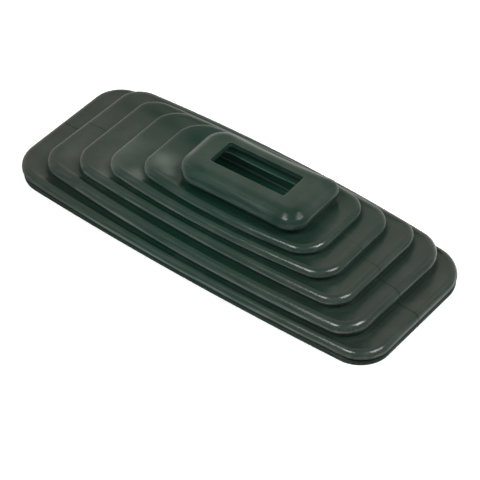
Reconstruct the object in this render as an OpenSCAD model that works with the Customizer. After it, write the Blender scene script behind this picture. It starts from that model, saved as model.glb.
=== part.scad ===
// Gear shifter boot: one moulding of soft rubber. A grooved flange clips into a floor panel, four
// stepped folds let the lever swing, and a collar with a slot closes round the flat lever.
// The folds and the collar lean towards one end, +X, so the steps are wider at the other end.

/* [Flange] */
// Length of the flange
flange_length = 203.6; // [170:0.2:240]
// Width of the flange where its long sides meet the corners
flange_width = 74.8; // [66:0.2:90]
// How far each long side of the flange bows outwards at its middle
flange_bow = 4.6; // [2:0.1:6]
// Radius of the flange's corners
flange_corner = 14; // [9:0.5:18]
// Height of the flange's rounded rim above the groove
flange_rim = 3.8; // [3.4:0.1:7]
// Drop from the flange's top to the rim's outer edge
flange_nose = 1.6; // [1.2:0.1:1.7]
// Height of the groove that takes the edge of the panel
groove_height = 1.2; // [0.8:0.1:2]
// Depth of the groove, measured from the rim's outer edge
groove_depth = 3.2; // [2:0.1:3.8]
// Thickness of the lip under the groove
lip_height = 2.6; // [1.2:0.1:3]
// How far the lip stands back from the rim's outer edge
lip_inset = 1.3; // [0.4:0.1:1.8]
// Distance from the rim's outer edge in to the hollow under the boot
land_width = 5.4; // [5:0.1:6.2]
// How far the thin base reaches in from the rim's outer edge under that hollow
base_width = 12.4; // [8:0.1:14]
// Thickness of the thin base
base_height = 1.8; // [1.2:0.1:2.4]

/* [Folds] */
// Number of folds between the flange and the collar
fold_count = 4; // [3:1:5]
// Height from the flange's top to the crest of the last fold
bellows_height = 22; // [20:0.5:32]
// Share by which the lower folds rise more than the upper ones
lower_swell = 0.3; // [0:0.05:0.35]
// How far the first fold lies inside the flange at the ends
first_end_step = 13; // [9:0.1:18]
// How far the first fold lies inside the flange along the sides
first_side_step = 3.7; // [3:0.1:5]
// How far each long side of the first fold bows outwards at its middle
first_bow = 5; // [1:0.1:6]
// How far each long side of the last fold bows outwards at its middle
last_bow = 3.5; // [1:0.1:4.5]
// Radius of the folds' corners
fold_corner = 12.4; // [9:0.1:14]
// Drop from the first fold's crest to its outer edge
first_nose = 1.7; // [1.2:0.1:2.2]
// Drop from every other crest to its outer edge
fold_nose = 1.3; // [1:0.1:1.7]
// Slope of the face between a fold's crest and its outer edge, in degrees
nose_slope = 32; // [25:1:45]
// Radius of each fold's outer edge
edge_radius = 0.5; // [0.3:0.1:0.7]
// How far each wall stands back under its fold's outer edge
undercut = 1.3; // [0.8:0.1:2]
// Radius of the valley at the foot of each wall
valley_radius = 1.5; // [1:0.1:1.8]
// How far each tread lies below its crest
tread_dip = 0.5; // [0.2:0.1:1]
// Thickness of the rubber in the folds
wall = 1.8; // [1.2:0.1:2.1]

/* [Collar] */
// Length of the collar at its edge
collar_length = 68.6; // [62:0.2:84]
// Width of the collar at its edge
collar_width = 35.6; // [34:0.2:42]
// Radius of the corners of the collar's edge
collar_corner = 10.5; // [8:0.1:14]
// How far the last fold reaches past the collar's edge at the ends
collar_end_step = 13.8; // [8:0.1:16]
// How far the last fold reaches past the collar's edge along the sides
collar_side_step = 4; // [2:0.1:6]
// How far the last fold lies from the flange's middle, towards +X
last_fold_offset = 10.1; // [0:0.1:12]
// How far the collar leans on from the last fold, towards +X
collar_lean = 1.9; // [0:0.1:3]
// Height of the collar's top above the last crest
collar_height = 10; // [9:0.5:16]
// Height of the collar's edge above the last crest
collar_gap = 3.4; // [2.4:0.1:4]
// How far the wall under the collar stands back from its edge
collar_undercut = 3; // [1:0.1:3.6]
// Radius of the bend over the collar's sides
shoulder_radius = 5; // [3:0.1:5.4]
// Slope of the collar between that bend and its flat top, in degrees
shoulder_slope = 22; // [16:1:40]
// Thickness of the collar's top, seen as the wall of the slot
roof_height = 2.2; // [1.6:0.1:3]

/* [Lever slot] */
// Length of the slot for the flat lever
slot_length = 38.6; // [30:0.2:42]
// Width of the slot
slot_width = 14.2; // [10:0.2:16]
// Radius of the slot's corners
slot_corner = 1; // [0.6:0.1:2]

/* [Hidden] */

rubber = [0.10, 0.125, 0.115];

// Steps in a corner, along a long side, round an outer edge, a crest, a valley and the collar's bend,
// and across a tread
corner_steps = 6;
side_steps = 6;
edge_steps = 4;
crest_steps = 3;
valley_steps = 4;
shoulder_steps = 5;
tread_steps = 4;

// The least corner radius that an inner outline keeps
least_corner = 0.8;
// Radius of the bend at each crest, as a share of the drop to the outer edge
crest_share = 1.15;
// Angle at which each outer edge turns in to the wall below it
edge_end = -110;
// Height of the wall's last step under an outer edge
hem = 0.9;
// How deep each tread is dished between its ends
tread_dish = 0.25;
// Soft edges of the lip and of the groove
lip_soft = 0.6;
// Radius of the bend under the rim
rim_bend = 1;
// Height of the collar's upright side
upright = 0.7;
// Bevel at the slot's upper edge
slot_bevel = 0.3;

groove_top = lip_height + groove_height;
flange_top = groove_top + flange_rim;
last_crest = flange_top + bellows_height;
collar_edge = last_crest + collar_gap;
collar_top = last_crest + collar_height;
shoulder_start = collar_edge + upright;
shoulder_end = shoulder_start + shoulder_radius * cos(shoulder_slope);
roof_inset = shoulder_radius * (1 - sin(shoulder_slope)) + (collar_top - shoulder_end) / tan(shoulder_slope);

first_half_length = flange_length / 2 - first_end_step;
first_half_width = flange_width / 2 - first_side_step;
last_half_length = collar_length / 2 + collar_end_step;
last_half_width = collar_width / 2 + collar_side_step;
hollow_half_width = flange_width / 2 - land_width;

// A level is one turn of the skin round the boot:
// [half length, half width, corner radius, bow, middle along X, height]
function between(a, b, t) = a + (b - a) * t;

// Height of crest i, where crest 0 is the flange's upper edge
function crest_height(i) =
    let (t = i / fold_count)
    flange_top + bellows_height * (t + lower_swell * t * (1 - t));

// Drop from crest i to its outer edge
function nose_drop(i) = i == 0 ? flange_nose : i == 1 ? first_nose : fold_nose;

// Height of the outer edge of fold i, where the one after the last fold is the collar's
function edge_height(i) = i > fold_count ? collar_edge : crest_height(i) - nose_drop(i);

// Height of tread i, behind crest i
function tread_height(i) = crest_height(i) - tread_dip;

// How far the wall under fold i, or under the collar, stands back from the outer edge
function undercut_at(i) = i > fold_count ? collar_undercut : undercut;

// Radius of the valley under fold i: it leaves room for the hem of the fold
function valley_at(i) = min(valley_radius, edge_height(i) - hem - tread_height(i - 1) - 0.1);

// Outline of fold i at its outer edge
function fold_outline(i) =
    let (t = (i - 1) / (fold_count - 1))
    [
        between(first_half_length, last_half_length, t),
        between(first_half_width, last_half_width, t),
        fold_corner,
        between(first_bow, last_bow, t),
        last_fold_offset * i / fold_count
    ];

// Outline of the flange, of each fold and of the collar at its outer edge
function outline_at(i) =
    i == 0 ? [flange_length / 2, flange_width / 2, flange_corner, flange_bow, 0]
    : i > fold_count
    ? [collar_length / 2, collar_width / 2, collar_corner, 0, last_fold_offset + collar_lean]
    : fold_outline(i);

// Outline o moved inwards by inset, at height z
function level(o, inset, z) =
    [o[0] - inset, o[1] - inset, max(o[2] - inset, least_corner), o[3], o[4], z];

// Levels round a bend of radius r about a centre, where angle 0 points out and 90 points up
function bend(o, inset, z, r, from, to, steps) =
    [for (k = [0:steps])
        let (a = from + (to - from) * k / steps)
        level(o, inset - r * cos(a), z + r * sin(a))];

// Inset of the crest's bend on fold i: the edge's share, the sloping face and the bend's own share
function crest_inset(i) =
    let (
        drop = nose_drop(i),
        r = drop * crest_share,
        rise = drop - edge_radius * cos(nose_slope) - r * (1 - cos(nose_slope))
    )
    edge_radius * (1 - sin(nose_slope)) + rise / tan(nose_slope) + r * sin(nose_slope);

// The bend at crest i, from the sloping face on to the tread
function crest_levels(i) =
    let (r = nose_drop(i) * crest_share)
    bend(outline_at(i), crest_inset(i), crest_height(i) - r, r, 90 - nose_slope, 90, crest_steps);

// Lip, groove and rounded rim of the flange, from the under side up
function flange_levels() =
    let (o = outline_at(0))
    concat(
        [level(o, base_width, 0)],
        [level(o, lip_inset + lip_soft, 0)],
        [level(o, lip_inset, lip_soft)],
        [level(o, lip_inset, lip_height - lip_soft)],
        [level(o, lip_inset + lip_soft, lip_height)],
        [level(o, groove_depth, lip_height)],
        [level(o, groove_depth, groove_top)],
        bend(o, rim_bend, groove_top + rim_bend, rim_bend, -90, 0, crest_steps),
        [level(o, edge_radius * (1 - sin(nose_slope)), edge_height(0) + edge_radius * cos(nose_slope))],
        crest_levels(0)
    );

// The tread from crest i in to the wall of the next fold, and the round valley at its end
function tread_levels(i) =
    let (
        o = outline_at(i + 1),
        low = tread_height(i),
        r = valley_at(i + 1),
        inset = undercut_at(i + 1) - r,
        start = level(outline_at(i), crest_inset(i), crest_height(i)),
        end = level(o, inset, low)
    )
    concat(
        [for (k = [1:tread_steps - 1])
            let (t = k / tread_steps)
            between(start, end, t) - [0, 0, 0, 0, 0, 4 * tread_dish * t * (1 - t)]],
        bend(o, inset, low + r, r, -90, -180, valley_steps)
    );

// The hem at the top of the wall, and the outer edge of fold i
function nose_levels(i) =
    let (o = outline_at(i), z = edge_height(i))
    concat(
        [level(o, undercut_at(i), z - hem)],
        bend(o, edge_radius, z, edge_radius, edge_end, i > fold_count ? 0 : 90 - nose_slope, edge_steps)
    );

// The bend over the collar's upright side, and the slope up to its flat top
function collar_levels() =
    let (o = outline_at(fold_count + 1))
    concat(
        bend(o, shoulder_radius, shoulder_start, shoulder_radius, 0, 90 - shoulder_slope, shoulder_steps),
        [level(o, roof_inset, collar_top)]
    );

// The slot through the collar's top
function slot_levels() =
    let (o = [slot_length / 2, slot_width / 2, slot_corner, 0, outline_at(fold_count + 1)[4]])
    [
        level(o, -slot_bevel, collar_top),
        level(o, 0, collar_top - slot_bevel),
        level(o, 0, collar_top - roof_height)
    ];

// The inside of the collar, from under its top down to its edge
function collar_inside_levels() =
    let (o = outline_at(fold_count + 1))
    concat(
        [level(o, roof_inset, collar_top - roof_height)],
        bend(o, shoulder_radius, shoulder_start, shoulder_radius - wall, 90 - shoulder_slope, 30, crest_steps),
        [level(o, collar_undercut + wall, collar_edge)],
        [level(o, collar_undercut + wall, collar_edge - hem)]
    );

// The inside of fold i under its tread
function tip_inside_levels(i) =
    let (o = outline_at(i), z = tread_height(i) - wall)
    [
        level(o, undercut + wall + hem / 2, z),
        level(o, undercut + wall, z - hem / 2)
    ];

// The inside of the valley that fold i stands in, from above to below
function valley_inside_levels(i) =
    let (r = valley_at(i))
    bend(outline_at(i), undercut_at(i) - r, tread_height(i - 1) + r, r + wall, -155, -90, crest_steps);

// The same for the first fold: along the sides it stops at the flange's own hollow
function first_inside_levels() =
    [for (v = valley_inside_levels(1))
        [v[0], min(v[1], hollow_half_width + flange_bow - first_bow - 0.1), v[2], v[3], v[4], v[5]]];

// The inside of the boot, from the slot down to the flange
function inside_levels() =
    concat(
        collar_inside_levels(),
        valley_inside_levels(fold_count + 1),
        [for (i = [fold_count:-1:2]) each concat(tip_inside_levels(i), valley_inside_levels(i))],
        tip_inside_levels(1),
        first_inside_levels(),
        [level(outline_at(0), land_width, tread_height(0) - wall)],
        [level(outline_at(0), land_width, base_height)],
        [level(outline_at(0), base_width, base_height)]
    );

// Every level of the skin in turn: up the outside, through the slot and down the inside
function all_levels() =
    concat(
        flange_levels(),
        [for (i = [1:fold_count]) each concat(tread_levels(i - 1), nose_levels(i), crest_levels(i))],
        tread_levels(fold_count),
        nose_levels(fold_count + 1),
        collar_levels(),
        slot_levels(),
        inside_levels()
    );

// Points of one corner of level v: sx and sy give its side, and from is its first angle
function corner_points(v, sx, sy, from) =
    [for (k = [0:corner_steps])
        let (
            a = from + 90 * k / corner_steps,
            x = sx * (v[0] - v[2]) + v[2] * cos(a),
            swell = v[3] * (1 - pow(x / v[0], 2)) * abs(sin(a))
        )
        [x + v[4], sy * (v[1] - v[2] + swell) + v[2] * sin(a), v[5]]];

// Points along one long side of level v, between its corners
function side_points(v, sy) =
    [for (k = [1:side_steps - 1])
        let (x = -sy * (v[2] - v[0]) * (1 - 2 * k / side_steps))
        [x + v[4], sy * (v[1] + v[3] * (1 - pow(x / v[0], 2))), v[5]]];

// One whole turn of level v, seen from above against the clock
function turn(v) =
    concat(
        corner_points(v, 1, 1, 0),
        side_points(v, 1),
        corner_points(v, -1, 1, 90),
        corner_points(v, -1, -1, 180),
        side_points(v, -1),
        corner_points(v, 1, -1, 270)
    );

module boot() {
    levels = all_levels();
    rows = len(levels);
    n = len(turn(levels[0]));
    points = [for (v = levels) each turn(v)];
    faces = [for (r = [0:rows - 1], c = [0:n - 1])
        let (
            up = (r + 1) % rows,
            next = (c + 1) % n,
            a = r * n + c,
            b = r * n + next,
            d = up * n + c,
            e = up * n + next
        )
        each [[a, e, b], [a, d, e]]];
    color(rubber) polyhedron(points, faces);
}

boot();
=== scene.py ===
"""Looks of the gear shifter boot: one soft black rubber moulding on a white floor.

The skin is one closed surface. Its rows are turns round the boot, listed from the flange's under side up
over four folds and the collar, through the lever slot and down the hollow inside. Lengths are in
millimetres until the mesh is made, and in metres from there on.
"""

import math

import bpy
import numpy as np
from mathutils import Matrix, Vector


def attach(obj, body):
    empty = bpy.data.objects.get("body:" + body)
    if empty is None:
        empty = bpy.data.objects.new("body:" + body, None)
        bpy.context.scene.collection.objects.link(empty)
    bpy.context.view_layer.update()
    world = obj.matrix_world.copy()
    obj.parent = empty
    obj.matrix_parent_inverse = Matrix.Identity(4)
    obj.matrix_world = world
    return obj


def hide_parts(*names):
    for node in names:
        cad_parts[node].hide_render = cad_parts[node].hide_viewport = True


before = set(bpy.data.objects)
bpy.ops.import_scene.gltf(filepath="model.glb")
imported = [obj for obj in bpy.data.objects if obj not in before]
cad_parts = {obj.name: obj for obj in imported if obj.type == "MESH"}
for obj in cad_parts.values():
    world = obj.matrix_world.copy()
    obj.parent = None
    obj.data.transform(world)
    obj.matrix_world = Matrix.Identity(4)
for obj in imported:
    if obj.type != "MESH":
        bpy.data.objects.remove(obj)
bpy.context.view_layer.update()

MM = 0.001

# A row: half length, half width, bows of the near and the far side, lean of the far side, middle along X and
# Y, yaw in degrees, inset from the named outline, height, and the corner radii from the near right one on,
# against the clock
LENGTH, WIDTH, INSET, HEIGHT = 0, 1, 8, 9
CORNERS = slice(10, 14)


def outline(half_length, half_width, bows, middle, aside, yaw, corners):
    """A row without inset at height 0. The bows are the near side's, the far side's, and its lean."""
    return np.array([half_length, half_width, *bows, middle, aside, yaw, 0.0, 0.0, *corners])


# Heights of the moulding
LIP_TOP = 2.6
GROOVE_TOP = 3.8
FLANGE_TOP = 7.6
LAST_CREST = 29.6
COLLAR_EDGE = 33.0
COLLAR_TOP = 39.6
FOLDS = 4
LOWER_SWELL = 0.3  # how far the heights of the folds swell over even steps

# Outer edge of the flange, of each fold and of the collar, then the lip under the flange, and the slot
RINGS = [
    outline(101.05, 37.6, (3.9, 4.2, 0.3), -0.15, -0.15, 0.35, (13.4, 16.4, 13.8, 15.9)),
    outline(88.8, 34.4, (4.65, 4.6, 1.3), 1.38, 0.9, -0.32, (12.0, 14.0, 11.4, 11.4)),
    outline(75.15, 29.5, (3.2, 2.8, 1.7), 3.82, 0.1, 0.4, (10.8, 9.7, 10.9, 12.4)),
    outline(61.65, 24.85, (3.9, 2.9, 0.3), 6.62, -0.05, 1.4, (11.1, 10.3, 12.0, 9.7)),
    outline(47.85, 20.65, (3.75, 3.6, 0.3), 9.5, -0.05, 1.6, (11.7, 9.3, 12.0, 8.6)),
    outline(33.6, 18.2, (-0.3, -1.3, 0.5), 13.0, -0.9, 2.35, (9.9, 6.8, 11.3, 11.5)),
]
COLLAR = RINGS[FOLDS + 1]
LIP = outline(100.6, 37.8, (2.9, 3.8, 0.3), -0.35, 0.3, 0.35, (14.0, 16.5, 14.0, 16.5))
SLOT = outline(19.1, 7.1, (0, 0, 0), 12.4, -0.25, 2.6, (1, 1, 1, 1))

# Corners of an outline
SHARP_CORNER = 2.0  # a radius below this stays as it is on an inset row, and its row isn't skewed
LEAST_CORNER = 0.8  # least radius that any other corner keeps on an inset row
SKEW = 0.016  # how far the ends lean against X, for each millimetre along Y
SKEW_FADE = 5.0  # the skew is whole where a corner's radius is this much over a sharp one

# Flange
LIP_BEND = 0.5
GROOVE_DEPTH = 3.2
GROOVE_BEND = 0.3
RIM_BEND = 0.8  # radius under the rim's outer edge
LAND = 5.4  # from the rim's outer edge in to the hollow
BASE = 10.5  # from the rim's outer edge in to the edge of the thin base
BASE_TOP = 1.8
BASE_BEND = 0.4

# Folds
NOSES = [3.0, 3.6, 2.9, 2.9, 2.8]  # radius of the round nose of the flange and of each fold
UNDERCUT = 1.3  # how far each wall stands back under its fold's outer edge
HEM = 0.9  # height of the hem under an outer edge
HEM_BEND = 0.5
VALLEY = 0.6  # radius at the foot of each wall
TREAD_DIP = 0.5  # how far each tread's back lies below its crest
WALL = 1.8  # thickness of the rubber
FIRST_HOLLOW_STEP = 2.4  # how much further in the hollow under the first fold starts

# Collar
COLLAR_UNDERCUT = 3.25
SHOULDER = 4.6  # radius of the bend over the sides
SHOULDER_START = COLLAR_EDGE + 0.7
SHOULDER_SLOPE = math.radians(33)  # of the short slope between the two bends
ROOF_BEND = 7.0  # radius of the wide bend on to the flat top
ROOF = 2.2  # thickness of the top
SLOT_BEVEL = 0.3

SUPPORT, BASE_SUPPORT = 0.2, 0.3  # from a bend to the row that keeps its shade and painted highlight off the flat

# Columns in one turn, and steps between them in a corner
END_COLUMNS = 21
SIDE_COLUMNS = 74
CORNER_STEPS = 18

RECESS_REACH = 6.0  # how far from the foot of a wall its recess ends
COLLAR_FOOT_HIGHLIGHT, BASE_EDGE_HIGHLIGHT = 1.0, 0.5  # painted highlights on the two edges in the hollow, in pale tone

# Pale patches of painted sheen on the treads, with an amount above 0, and dull ones on the treads, round the
# collar and on the far edge of the lowest fold, below 0: middle X and Y, reach along X and Y, amount
SHEEN_AND_DULL_PATCHES = np.array([
    (-30, -12, 6, 5, 1.0), (-22, -16.5, 4, 2.5, 0.8), (-36, -21.5, 4.5, 3.5, 0.8), (-52, -10, 6, 8, 0.4),
    (-56, -19, 7, 7, 0.3), (-51, -26, 4, 3, 0.5), (-77, -18, 6, 10, 0.25), (13, -2, 34, 14, 0.15),
    (-29, 8, 7, 7, -1.3), (-47, 12.5, 8, 5, -1.0), (-61, 19, 8, 4, -1.2), (-78, 21, 6, 4, -0.8),
    (13, 15.5, 36, 4, -1.0), (-19, -1, 3.5, 16, -1.0), (-16, 12, 5, 5, -0.9), (5, 40, 70, 2.5, -1.0),
    (43.5, -11.0, 4.5, 4.5, -1.4), (37.0, -17.0, 4.5, 4, -1.35), (13, -19.5, 34, 1.6, -0.9),
])

# Pale specks on the near side: X, Y and Z, and the radii of a speck's full and of its faded part
SPECKS = [(41.7, -21.1, 29.6), (45.9, -24.3, 29.3), (47.6, -23.8, 29.3), (-28, -23.5, 29.0)]
SPECK_FULL, SPECK_FADED = 0.3, 0.8

# Line where the mould parts, at both ends: its Y if it ran on to the middle, its fall along Y for each
# millimetre along X, where along X it starts and is strongest, and half widths of its full and faded part
SEAM_ASIDE = 7.4
SEAM_FALL = 0.09
SEAM_START, SEAM_STRONGEST = 50.0, 95.0
SEAM_STRENGTH = 0.8
SEAM_FULL, SEAM_FADED = 0.1, 0.5
SEAM_SHINE = 0.35  # share of the shine that is left on it

# Tones of the rubber, as linear red, green and blue
MIDDLE_RUBBER = (0.0075, 0.0295, 0.0215, 1)
END_RUBBER = (0.0188, 0.029, 0.0235, 1)
SEAM_RUBBER = (0.004, 0.009, 0.007, 1)
# pale tone for the painted sheen, the painted highlights and the pale specks
SHEEN_AND_SPECK_RUBBER = (0.075, 0.095, 0.08, 1)
TONE_START, TONE_END = 10.0, 90.0  # along X, where the middle's tone ends and that of the ends is reached

# Shine and roughness in the open and in a recess, and how deep in a recess they start and end to change
RECESS_START, RECESS_WHOLE = 0.5, 0.85
OPEN_SHINE, RECESS_SHINE = 0.5, 0.05
OPEN_ROUGHNESS, RECESS_ROUGHNESS = 0.2, 0.6
DULLEST_PATCH, DULLEST_SHINE = -1.5, 0.1
LINE_SHINE = 0.6  # share of the shine that the moulding lines add or take

# Patterns: scales of the noises for each metre, their detail, the part of a noise's range that counts,
# and how strong the patterns are
GRAIN_SCALE, GRAIN_DETAIL, GRAIN_STRENGTH, GRAIN_HEIGHT = 900, 4, 0.15, 0.0002
LINE_ALONG, LINE_ACROSS, LINE_DETAIL, LINE_RANGE = 45, 1100, 3, (0.35, 0.65)
CLOUD_SCALE, CLOUD_DETAIL, CLOUD_RANGE, CLOUD_AMOUNT = 90, 5, (0.3, 0.7), 0.12
SPECK_AMOUNT = 1.2

# The photograph's view: turn from the near side and rise in radians, then in metres the distance, how far
# the view is moved to the right and up, and the point that it is turned about; the focal length and the
# picture's width in pixels, and the sensor's width in millimetres
VIEW_TURN, VIEW_RISE = 0.68262, 0.74204
VIEW_DISTANCE = 1.05304
VIEW_RIGHT, VIEW_UP = 0.0026077, -0.0119755
VIEW_AIM = Vector((0, -0.0005, FLANGE_TOP * MM))
FOCAL_PIXELS = 2403.617
PICTURE_WIDTH = 480
SENSOR_WIDTH = 36
AWAY = (-0.63, 0.777, 0)  # along the floor, away from the camera

# Floor, in metres: half its side, half length and half width of the block under the boot, and where past
# that block's edge the floor painted dark as shade turns into the open one; then the tones, and the glow of
# the white
FLOOR_HALF = 6.0
FOOTPRINT = (0.097, 0.037, 0)
HIDDEN_EDGE = (-0.006, -0.004)
# painted shade: the floor under the boot is dark green
SHADE_PAINTED_FLOOR = (0.01, 0.045, 0.032, 1)
GREY_FLOOR = (0.3, 0.3, 0.3, 1)
WHITE_FLOOR = (0.8, 0.8, 0.8, 1)
WHITE_GLOW = 0.5

# Painted light and shade of the floor in reflections, as glow: start and end of each change past the block's
# edge, and the glow at both; then where the near side turns into the far one, from the middle and away from
# the camera
NEAR_SHADE = (0.004, 0.01, 0.1, 1.0)
NEAR_FADE = (0.02, 0.04, 1.2, 0.5)
FAR_RISE = (0.03, 0.1, 0.0, 0.6)
FLOOR_TURN = (-0.02, 0.04)

# Walls of the studio, behind the camera and behind the boot: sine of the height and grey, then the tint,
# and how far a direction points away from the camera where the one turns into the other
NEAR_STOPS = [(-0.1, 0.5), (0.15, 0.42), (0.35, 0.45), (0.6, 0.6), (0.78, 0.62), (0.88, 0.4), (1.0, 0.36)]
FAR_STOPS = [(-0.1, 0.75), (0.15, 0.74), (0.35, 0.66), (0.7, 0.65), (0.82, 0.5), (0.9, 0.38), (1.0, 0.36)]
NEAR_TINT = (0.92, 1.0, 0.98)
FAR_TINT = (1.0, 0.92, 0.8)
WALL_TURN = (-0.5, 0.6)

# Lamps in metres: name, direction from the aim, distance, size, radiance and aim
RIGHT_BOX = ("right_box", (0.5838, 0.1485, 0.7982), 1.3, (0.58, 0.48), 10.5, (0, 0, 0.02))
LEFT_BOX = ("left_box", (-0.0908, -0.5457, 0.8331), 1.3, (0.46, 0.42), 12.5, (0, 0, 0.02))
SLOT_GLOW = ("slot_glow", (0, 0, 1), 0.025, (0.036, 0.010), 24, (0.012, -0.006, 0.008))


def crest_height(i):
    """Height of crest i: an even share of the bellows, plus a swell that lifts the lower folds."""
    t = i / FOLDS
    return FLANGE_TOP + (LAST_CREST - FLANGE_TOP) * (t + LOWER_SWELL * t * (1 - t))


def edge_height(i):
    """Height of the outer edge of fold i, where the one after the last fold is the collar's."""
    return COLLAR_EDGE if i > FOLDS else crest_height(i) - NOSES[i]


def undercut(i):
    """How far the wall under fold i, or under the collar, stands back from the outer edge."""
    return COLLAR_UNDERCUT if i > FOLDS else UNDERCUT


def rows_at(shape, inset, height):
    """Rows: shape moved inwards by each inset, at each height."""
    inset, height = (np.atleast_1d(part).astype(float) for part in (inset, height))
    inset, height = np.broadcast_arrays(inset, height)
    rows = np.tile(shape, (len(inset), 1))
    rows[:, LENGTH] -= inset
    rows[:, WIDTH] -= inset
    rows[:, INSET] = inset
    rows[:, HEIGHT] = height
    return rows


def rolled(shape, inset, height, radius, start, end, steps):
    """Rows round a bend, from the start to the end angle in degrees: inset less radius times cosine, height
    plus radius times sine of the angle."""
    angle = np.radians(np.linspace(start, end, steps + 1))
    return rows_at(shape, inset - radius * np.cos(angle), height + radius * np.sin(angle))


def drawn(start, end, shares, drop=0.0):
    """Rows from row start to row end at the given shares, lowered by drop at each share."""
    t = np.asarray(shares, float)[:, None]
    rows = (1 - t) * start + t * end
    rows[:, HEIGHT] -= drop
    return rows


def nose_bend(i):
    """The round nose of ring i: a quarter turn from its outer edge up to the crest."""
    return rolled(RINGS[i], NOSES[i], edge_height(i), NOSES[i], 0, 90, 16)


def flange_rows():
    """The flange's under side, its lip, its groove and its rounded rim."""
    shape = RINGS[0]
    groove_foot = GROOVE_DEPTH - GROOVE_BEND
    return [
        rows_at(shape, BASE, 0.0),
        rows_at(LIP, LIP_BEND + SUPPORT, 0.0),
        rolled(LIP, LIP_BEND, LIP_BEND, LIP_BEND, -80, 0, 4),
        rolled(LIP, LIP_BEND, LIP_TOP - LIP_BEND, LIP_BEND, 0, 90, 5),
        rolled(shape, groove_foot, LIP_TOP + GROOVE_BEND, GROOVE_BEND, -90, -180, 3),
        rolled(shape, groove_foot, GROOVE_TOP - GROOVE_BEND, GROOVE_BEND, -180, -270, 3),
        rolled(shape, RIM_BEND, edge_height(0), RIM_BEND, -90, -10, 6),
        nose_bend(0),
    ]


def tread_rows(i):
    """The tread behind crest i, and the round valley at the foot of the next wall. The tread is a shallow
    dish: it is lowered by a share of the way across times one less that share, in millimetres."""
    low = crest_height(i) - TREAD_DIP
    start = rows_at(RINGS[i], NOSES[i], crest_height(i))[0]
    inset = undercut(i + 1) - VALLEY
    end = rows_at(RINGS[i + 1], inset, low)[0]
    share = np.linspace(0, 1, 15)[1:-1]
    return [
        drawn(start, end, share, share * (1 - share)),
        rolled(RINGS[i + 1], inset, low + VALLEY, VALLEY, -90, -180, 6),
    ]


def wall_rows(i):
    """The wall up to fold i, straight from the valley to the hem, and the bend under the outer edge."""
    shape, z = RINGS[i], edge_height(i)
    foot = rows_at(shape, undercut(i), crest_height(i - 1) - TREAD_DIP + VALLEY)[0]
    return [
        drawn(foot, rows_at(shape, undercut(i), z - HEM)[0], [0.33, 0.67, 1.0]),
        rolled(shape, HEM_BEND, z, HEM_BEND, -110, -10, 7),
    ]


def roof_inset():
    """Inset of the collar's flat top: the shares of its two bends and the run of the slope between them."""
    slope = SHOULDER_SLOPE
    rise = COLLAR_TOP - SHOULDER_START - SHOULDER * math.cos(slope) - ROOF_BEND * (1 - math.cos(slope))
    return SHOULDER * (1 - math.sin(slope)) + rise / math.tan(slope) + ROOF_BEND * math.sin(slope)


def collar_rows():
    """The bend over the collar's upright side, a short slope and the wide bend on to the flat top."""
    face = 90 - math.degrees(SHOULDER_SLOPE)
    return [
        rolled(COLLAR, SHOULDER, SHOULDER_START, SHOULDER, 0, face, 14),
        rolled(COLLAR, roof_inset(), COLLAR_TOP - ROOF_BEND, ROOF_BEND, face, 90, 12),
    ]


def slot_rows():
    """The flat roof in to the slot, the slot's bevel and its wall."""
    crease = rows_at(COLLAR, roof_inset(), COLLAR_TOP)[0]
    bevel = rolled(SLOT, 0.0, COLLAR_TOP - SLOT_BEVEL, SLOT_BEVEL, 90, 0, 4)
    bevel[:, [LENGTH, WIDTH]] += SLOT_BEVEL
    return [
        drawn(crease, bevel[0], [0.12, 0.3, 0.5, 0.7, 0.9]),
        bevel,
        rows_at(SLOT, 0.0, [COLLAR_TOP - ROOF / 2, COLLAR_TOP - ROOF]),
    ]


def valley_inside_rows(i):
    """The inside of the valley under fold i, a wall's thickness below its outside; the first one stands
    further in, clear of the flange's hollow."""
    low = crest_height(i - 1) - TREAD_DIP
    inset = undercut(i) - VALLEY + (FIRST_HOLLOW_STEP if i == 1 else 0.0)
    return rolled(RINGS[i], inset, low + VALLEY, VALLEY + WALL, -155, -90, 6)


def collar_inside_rows():
    """The inside of the collar from under its roof down to its foot, a wall's thickness from its bend and
    from the wall under its edge."""
    face = 90 - math.degrees(SHOULDER_SLOPE)
    return [
        rows_at(COLLAR, roof_inset(), COLLAR_TOP - ROOF),
        rolled(COLLAR, SHOULDER, SHOULDER_START, SHOULDER - WALL, face, 30, 4),
        rows_at(COLLAR, COLLAR_UNDERCUT + WALL, [COLLAR_EDGE, COLLAR_EDGE - HEM, LAST_CREST - SUPPORT]),
    ]


def folds_inside_rows():
    """The hollow inside, from the collar's foot down through each fold to the flange and the thin base. It
    stays a wall's thickness from the treads, the valleys and the walls."""
    rows = [valley_inside_rows(FOLDS + 1)]
    bend = HEM / 2
    for i in range(FOLDS, 0, -1):
        under = crest_height(i) - TREAD_DIP - WALL
        rows.append(rolled(RINGS[i], UNDERCUT + WALL + bend, under - bend, bend, 90, 0, 3))
        rows.append(valley_inside_rows(i))
    rows.append(rows_at(RINGS[0], LAND, [FLANGE_TOP - TREAD_DIP - WALL, BASE_TOP]))
    rows.append(rows_at(RINGS[0], BASE - BASE_BEND - BASE_SUPPORT, BASE_TOP))
    rows.append(rolled(RINGS[0], BASE - BASE_BEND, BASE_TOP - BASE_BEND, BASE_BEND, 90, 180, 3))
    return rows


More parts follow.
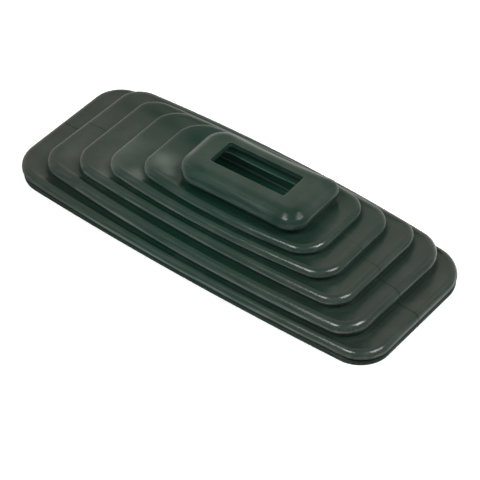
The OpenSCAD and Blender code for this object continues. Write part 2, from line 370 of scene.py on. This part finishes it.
def skin_columns():
    """Columns of one turn, against the clock from the right end: centre shares along X and Y, cosine and
    sine of the corner's angle, and the share that each of the four corner radii has in the column."""
    end, side = np.linspace(-1, 1, END_COLUMNS), np.linspace(1, -1, SIDE_COLUMNS)
    quarter = np.linspace(0, 90, CORNER_STEPS + 1)[1:-1]
    stretches = [
        (1, end, 0), (1, 1, quarter), (side, 1, 90), (-1, 1, quarter + 90),
        (-1, -end, 180), (-1, -1, quarter + 180), (-side, -1, 270), (1, -1, quarter + 270),
    ]
    columns = (np.broadcast_arrays(*stretch) for stretch in stretches)
    cx, cy, angle = (np.concatenate(part) for part in zip(*columns))
    angle = np.radians(angle)
    right, far = (1 + cx) / 2, (1 + cy) / 2
    share = np.stack([right * (1 - far), right * far, (1 - right) * far, (1 - right) * (1 - far)])
    return cx, cy, np.cos(angle), np.sin(angle), share


def skin_points(rows):
    """Points of every row and column. The corner's centre lies at its shares of the half length and half
    width less the radius; the radius runs out at the column's angle; the long sides swell by their bow
    times one less the square of x over the half length, and the far side leans out by its lean times x over
    the half length; x is then skewed by a share of y, and the yaw turns the row about its middle."""
    cx, cy, cosine, sine, share = skin_columns()
    half_length, half_width, near_bow, far_bow, lean, middle, aside, yaw, inset, height = (
        c[:, None] for c in rows.T[:HEIGHT + 1]
    )
    corner = rows[:, CORNERS] @ share
    radius = np.where(corner < SHARP_CORNER, corner, np.maximum(corner - inset, LEAST_CORNER))
    x = (half_length - radius) * cx + radius * cosine
    along = x / half_length
    swell = np.where(sine < 0, near_bow * (1 - along ** 2), far_bow * (1 - along ** 2) + lean * along)
    y = (half_width - radius) * cy + radius * sine + swell * sine
    x = x - SKEW * np.clip((corner - SHARP_CORNER) / SKEW_FADE, 0, 1) * y
    c, s = np.cos(np.radians(yaw)), np.sin(np.radians(yaw))
    return np.stack([c * x - s * y + middle, s * x + c * y + aside, height + 0 * x], axis=-1)


def recess(points):
    """How deep in a recess each point lies: one less the distance to the nearest foot in the same column
    over the recess's reach, and no less than 0. The feet are those of the walls and half way into the
    groove."""
    feet = np.concatenate([rows_at(RINGS[0], GROOVE_DEPTH / 2, LIP_TOP)] + [
        rows_at(RINGS[i], undercut(i), crest_height(i - 1) - TREAD_DIP) for i in range(1, FOLDS + 2)
    ])
    apart = np.linalg.norm(points[:, None] - skin_points(feet)[None], axis=-1)
    return np.clip(1 - apart.min(axis=1) / RECESS_REACH, 0, 1)


def sheen_and_dull(points):
    """Pale painted sheen above 0 and dull patches below 0: each patch adds its amount times e to the power of
    minus the squares of the distances along X and Y over its reaches."""
    x, y = points[..., :1], points[..., 1:2]
    middle_x, middle_y, reach_x, reach_y, amount = SHEEN_AND_DULL_PATCHES.T
    return (amount * np.exp(-((x - middle_x) / reach_x) ** 2 - ((y - middle_y) / reach_y) ** 2)).sum(axis=-1)


def skin_mesh():
    """The closed skin: rows joined to the next row, and the last row to the first. All of the inside counts
    as a recess, and two edges in it get painted highlights in pale tone: the collar's foot and the edge of
    the thin base."""
    outside = flange_rows()
    for i in range(1, FOLDS + 1):
        outside += tread_rows(i - 1) + wall_rows(i) + [nose_bend(i)]
    outside += tread_rows(FOLDS) + wall_rows(FOLDS + 1) + collar_rows() + slot_rows()
    collar_inside, folds_inside = collar_inside_rows(), folds_inside_rows()
    points = skin_points(np.concatenate(outside + collar_inside + folds_inside))
    count, around = points.shape[:2]
    r, c = np.meshgrid(np.arange(count), np.arange(around), indexing="ij")
    up, across = (r + 1) % count, (c + 1) % around
    quads = np.stack([r * around + c, r * around + across, up * around + across, up * around + c], axis=-1)
    deep, sheen_and_dull_marks = recess(points), sheen_and_dull(points)
    deep[len(np.concatenate(outside)):] = 1
    collar_foot = count - len(np.concatenate(folds_inside))
    base_edge = count - len(folds_inside[-1])
    # painted highlights on two edges in the hollow
    sheen_and_dull_marks[collar_foot:collar_foot + 2] = COLLAR_FOOT_HIGHLIGHT
    sheen_and_dull_marks[base_edge:base_edge + 2] = BASE_EDGE_HIGHLIGHT
    return points.reshape(-1, 3) * MM, quads.reshape(-1, 4), deep.ravel(), sheen_and_dull_marks.ravel()


def add_piece(name, points, quads, finish):
    """A mesh object of four-sided faces at the origin, shaded smooth."""
    mesh = bpy.data.meshes.new(name)
    mesh.vertices.add(len(points))
    mesh.vertices.foreach_set("co", points.astype(np.float32).ravel())
    mesh.loops.add(quads.size)
    mesh.loops.foreach_set("vertex_index", quads.astype(np.int32).ravel())
    mesh.polygons.add(len(quads))
    mesh.polygons.foreach_set("loop_start", np.arange(0, quads.size, 4, dtype=np.int32))
    mesh.polygons.foreach_set("loop_total", np.full(len(quads), 4, dtype=np.int32))
    mesh.update(calc_edges=True)
    mesh.validate()
    mesh.shade_smooth()
    mesh.materials.append(finish)
    piece = bpy.data.objects.new(name, mesh)
    bpy.context.scene.collection.objects.link(piece)
    return piece


def feed(tree, socket, part):
    """Gives a socket its number, vector or colour, or links it to the socket that feeds it."""
    if isinstance(part, bpy.types.NodeSocket):
        tree.links.new(part, socket)
    else:
        socket.default_value = part


def add_node(tree, kind, inputs, **settings):
    """A shader node with its settings, and with its inputs fed by label or number."""
    node = tree.nodes.new("ShaderNode" + kind)
    for setting, value in settings.items():
        setattr(node, setting, value)
    for label, part in inputs.items():
        feed(tree, node.inputs[label], part)
    return node


def ramp(tree, value, start, end, low=0.0, high=1.0):
    """A value that goes from low to high while the given one goes from start to end."""
    inputs = {"Value": value, "From Min": start, "From Max": end, "To Min": low, "To Max": high}
    return add_node(tree, "MapRange", inputs).outputs["Result"]


def combined(tree, operation, first, second=0.0):
    """The result of an operation on two numbers, or on the first alone."""
    return add_node(tree, "Math", {0: first, 1: second}, operation=operation).outputs["Value"]


def combined_vectors(tree, operation, first, second=(0, 0, 0)):
    """The result of an operation on two vectors, or on the first alone: a vector or a number."""
    node = add_node(tree, "VectorMath", {0: first, 1: second}, operation=operation)
    return next(output for output in node.outputs if output.enabled)


def mixed(tree, kind, factor, first, second):
    """The first where the factor is 0, the second where it is 1: numbers (FLOAT) or colours (RGBA)."""
    inputs = {"Factor": factor, "A": first, "B": second}
    return add_node(tree, "Mix", inputs, data_type=kind).outputs["Result"]


def noise(tree, place, scale, detail):
    """A cloudy noise at a scale for each metre."""
    return add_node(tree, "TexNoise", {"Vector": place, "Scale": scale, "Detail": detail}).outputs["Fac"]


def fine_lines(tree, place, scales):
    """Thin uneven lines from -1 to 1: a noise drawn out along the axis whose scale is small."""
    drawn_out = combined_vectors(tree, "MULTIPLY", place, scales)
    return ramp(tree, noise(tree, drawn_out, 1, LINE_DETAIL), *LINE_RANGE, -1.0, 1.0)


def moulding_lines(tree, place):
    """Fine level lines round the boot: those along X times how far the surface faces along Y, plus those
    along Y times how far it faces along X."""
    normal = add_node(tree, "NewGeometry", {}).outputs["True Normal"]
    facing = add_node(tree, "SeparateXYZ", {0: normal}).outputs
    side_lines = fine_lines(tree, place, (LINE_ALONG, LINE_ACROSS, LINE_ACROSS))
    end_lines = fine_lines(tree, place, (LINE_ACROSS, LINE_ALONG, LINE_ACROSS))
    on_sides = combined(tree, "MULTIPLY", side_lines, combined(tree, "ABSOLUTE", facing["Y"]))
    on_ends = combined(tree, "MULTIPLY", end_lines, combined(tree, "ABSOLUTE", facing["X"]))
    return combined(tree, "ADD", on_sides, on_ends)


def sheen_and_speck_patches(tree, place):
    """The skin's patches of painted sheen and of dullness, a little clouded, plus more than a full one at
    each speck.
    """
    patch = add_node(tree, "Attribute", {}, attribute_name="sheen_and_dull").outputs["Fac"]
    cloud = noise(tree, place, CLOUD_SCALE, CLOUD_DETAIL)
    patch = combined(tree, "ADD", patch, ramp(tree, cloud, *CLOUD_RANGE, -CLOUD_AMOUNT, CLOUD_AMOUNT))
    for speck in SPECKS:
        away = combined_vectors(tree, "DISTANCE", place, [length * MM for length in speck])
        spot = ramp(tree, away, SPECK_FULL * MM, SPECK_FADED * MM, SPECK_AMOUNT, 0.0)
        patch = combined(tree, "ADD", patch, spot)
    return patch


def parting_line(tree, along, aside):
    """How strong the parting line is: 0 beside it, and growing towards the ends on it. A point is off the
    line by its Y plus the fall times its distance along X, less the line's own Y in the middle."""
    fallen = combined(tree, "ADD", aside, combined(tree, "MULTIPLY", along, SEAM_FALL))
    off_line = combined(tree, "ABSOLUTE", combined(tree, "SUBTRACT", fallen, SEAM_ASIDE * MM))
    on_line = ramp(tree, off_line, SEAM_FULL * MM, SEAM_FADED * MM, 1.0, 0.0)
    strength = ramp(tree, along, SEAM_START * MM, SEAM_STRONGEST * MM, 0.0, SEAM_STRENGTH)
    return combined(tree, "MULTIPLY", on_line, strength)


def rubber_finish():
    """Black rubber with a soft shine and fine grain, greener in the middle and greyer at the ends. It is pale
    where sheen and highlights are painted on and at specks, and shines less in the recesses, on dull patches
    and on the parting line."""
    finish = bpy.data.materials.new("boot_rubber")
    finish.use_nodes = True
    tree = finish.node_tree
    shader = tree.nodes["Principled BSDF"]
    shader.inputs["IOR"].default_value = 1.5
    place = add_node(tree, "TexCoord", {}).outputs["Object"]
    where = add_node(tree, "SeparateXYZ", {0: place}).outputs
    along = combined(tree, "ABSOLUTE", where["X"])
    deep = add_node(tree, "Attribute", {}, attribute_name="recess").outputs["Fac"]
    patch = sheen_and_speck_patches(tree, place)
    seam = parting_line(tree, along, where["Y"])

    rubber = mixed(tree, "RGBA", ramp(tree, along, TONE_START * MM, TONE_END * MM), MIDDLE_RUBBER, END_RUBBER)
    rubber = mixed(tree, "RGBA", seam, rubber, SEAM_RUBBER)
    # painted sheen and painted highlights: paler where the patch value is above 0, and at the specks
    rubber = mixed(tree, "RGBA", ramp(tree, patch, 0.0, 1.0), rubber, SHEEN_AND_SPECK_RUBBER)
    feed(tree, shader.inputs["Base Color"], rubber)

    shine = ramp(tree, deep, RECESS_START, RECESS_WHOLE, OPEN_SHINE, RECESS_SHINE)
    for share in (
        ramp(tree, patch, DULLEST_PATCH, 0.0, DULLEST_SHINE, 1.0),
        ramp(tree, moulding_lines(tree, place), -1.0, 1.0, 1 - LINE_SHINE, 1 + LINE_SHINE),
        ramp(tree, seam, 0.0, 1.0, 1.0, SEAM_SHINE),
    ):
        shine = combined(tree, "MULTIPLY", shine, share)
    feed(tree, shader.inputs["Specular IOR Level"], shine)
    roughness = ramp(tree, deep, RECESS_START, RECESS_WHOLE, OPEN_ROUGHNESS, RECESS_ROUGHNESS)
    feed(tree, shader.inputs["Roughness"], roughness)

    grain = noise(tree, place, GRAIN_SCALE, GRAIN_DETAIL)
    bump = add_node(tree, "Bump", {"Strength": GRAIN_STRENGTH, "Distance": GRAIN_HEIGHT, "Height": grain})
    feed(tree, shader.inputs["Normal"], bump.outputs["Normal"])
    return finish


def add_softbox(name, direction, distance, size, radiance, aim):
    """A square lamp at a distance along direction from aim; its power is pi times area times radiance."""
    lamp = bpy.data.lights.new(name, "AREA")
    lamp.shape = "RECTANGLE"
    lamp.size, lamp.size_y = size
    lamp.energy = math.pi * size[0] * size[1] * radiance
    holder = bpy.data.objects.new(name, lamp)
    way = Vector(direction).normalized()
    holder.location = Vector(aim) + way * distance
    holder.rotation_euler = way.to_track_quat("Z", "Y").to_euler()
    bpy.context.scene.collection.objects.link(holder)
    return holder


def add_floor():
    """A wide pale floor that shows white to the camera and keeps the object's shadow. Under the boot it is
    painted dark green as shade, so that the slot shows no floor. In reflections it glows as painted light and
    stays
    dark beside the boot as painted shade: its near side glows most in a band round the boot, its far side
    only further off."""
    half = FLOOR_HALF
    points = np.array([[-half, -half, 0], [half, -half, 0], [half, half, 0], [-half, half, 0]])
    paint = bpy.data.materials.new("floor_white")
    paint.use_nodes = True
    tree = paint.node_tree
    shader = tree.nodes["Principled BSDF"]
    shader.inputs["Roughness"].default_value = 0.9
    shader.inputs["Specular IOR Level"].default_value = 0
    shader.inputs["Emission Color"].default_value = (1, 1, 1, 1)
    seen = add_node(tree, "LightPath", {}).outputs["Is Camera Ray"]
    place = add_node(tree, "TexCoord", {}).outputs["Object"]
    beyond = combined_vectors(tree, "SUBTRACT", combined_vectors(tree, "ABSOLUTE", place), FOOTPRINT)
    split = add_node(tree, "SeparateXYZ", {0: beyond}).outputs
    reach = combined(tree, "MAXIMUM", split["X"], split["Y"])
    outside = ramp(tree, reach, *HIDDEN_EDGE)

    open_floor = mixed(tree, "RGBA", seen, GREY_FLOOR, WHITE_FLOOR)
    # painted shade: the floor under the boot is dark green
    feed(tree, shader.inputs["Base Color"], mixed(tree, "RGBA", outside, SHADE_PAINTED_FLOOR, open_floor))

    # painted light in reflections, dimmed next to the boot as painted shade
    near_glow = combined(tree, "MULTIPLY", ramp(tree, reach, *NEAR_SHADE), ramp(tree, reach, *NEAR_FADE))
    far_glow = ramp(tree, reach, *FAR_RISE)
    behind = ramp(tree, combined_vectors(tree, "DOT_PRODUCT", place, AWAY), *FLOOR_TURN)
    mirrored = mixed(tree, "FLOAT", behind, near_glow, far_glow)
    white_glow = combined(tree, "MULTIPLY", outside, WHITE_GLOW)
    feed(tree, shader.inputs["Emission Strength"], mixed(tree, "FLOAT", seen, mirrored, white_glow))
    floor = add_piece("floor", points, np.array([[0, 1, 2, 3]]), paint)


def wall(tree, height, stops, tint):
    """Tones of one wall from the floor to overhead, at the sine of the height, times a tint."""
    tones = add_node(tree, "ValToRGB", {"Fac": height})
    elements = tones.color_ramp.elements
    while len(elements) < len(stops):
        elements.new(0.5)
    for element, (sine, grey) in zip(elements, stops):
        element.position, element.color = (sine + 1) / 2, (*(grey * part for part in tint), 1)
    return tones.outputs["Color"]


def light_world():
    """Pale walls all round: warmer behind the object, cooler behind the camera, darker towards the floor and
    overhead, and plain white to the camera."""
    world = bpy.data.worlds.new("studio")
    bpy.context.scene.world = world
    world.use_nodes = True
    tree = world.node_tree
    ground = tree.nodes["Background"]
    ground.inputs["Strength"].default_value = 1.0
    way = add_node(tree, "TexCoord", {}).outputs["Generated"]
    height = ramp(tree, add_node(tree, "SeparateXYZ", {0: way}).outputs["Z"], -1.0, 1.0)
    behind = ramp(tree, combined_vectors(tree, "DOT_PRODUCT", way, AWAY), *WALL_TURN)
    near_wall, far_wall = wall(tree, height, NEAR_STOPS, NEAR_TINT), wall(tree, height, FAR_STOPS, FAR_TINT)
    seen = add_node(tree, "LightPath", {}).outputs["Is Camera Ray"]
    walls = mixed(tree, "RGBA", behind, near_wall, far_wall)
    feed(tree, ground.inputs["Color"], mixed(tree, "RGBA", seen, walls, (1, 1, 1, 1)))


def add_camera():
    """The photograph's view: 39.1 degrees round from the near side, 42.5 degrees up, about a metre away."""
    level = math.cos(VIEW_RISE)
    back = Vector((math.sin(VIEW_TURN) * level, -math.cos(VIEW_TURN) * level, math.sin(VIEW_RISE)))
    right = Vector((math.cos(VIEW_TURN), math.sin(VIEW_TURN), 0))
    up = back.cross(right)
    place = VIEW_AIM + back * VIEW_DISTANCE + right * VIEW_RIGHT + up * VIEW_UP
    lens = bpy.data.cameras.new("photo_view")
    lens.sensor_width = SENSOR_WIDTH
    lens.lens = SENSOR_WIDTH * FOCAL_PIXELS / PICTURE_WIDTH
    lens.clip_start = 0.05
    lens.clip_end = 20
    camera = bpy.data.objects.new("photo_view", lens)
    turn = Matrix((right, up, back)).transposed()
    camera.matrix_world = Matrix.Translation(place) @ turn.to_4x4()
    bpy.context.scene.collection.objects.link(camera)
    bpy.context.scene.camera = camera


points, quads, depth, patches = skin_mesh()
boot = add_piece("boot_skin", points, quads, rubber_finish())
# the second attribute holds painted sheen, painted highlights and dull patches
for label, values in (("recess", depth), ("sheen_and_dull", patches)):
    boot.data.attributes.new(label, "FLOAT", "POINT").data.foreach_set("value", values.astype(np.float32))
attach(boot, "root")
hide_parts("boot")

add_floor()
light_world()
add_softbox(*RIGHT_BOX)
add_softbox(*LEFT_BOX)
add_softbox(*SLOT_GLOW).visible_camera = False
add_camera()
bpy.context.scene.view_settings.view_transform = "Standard"
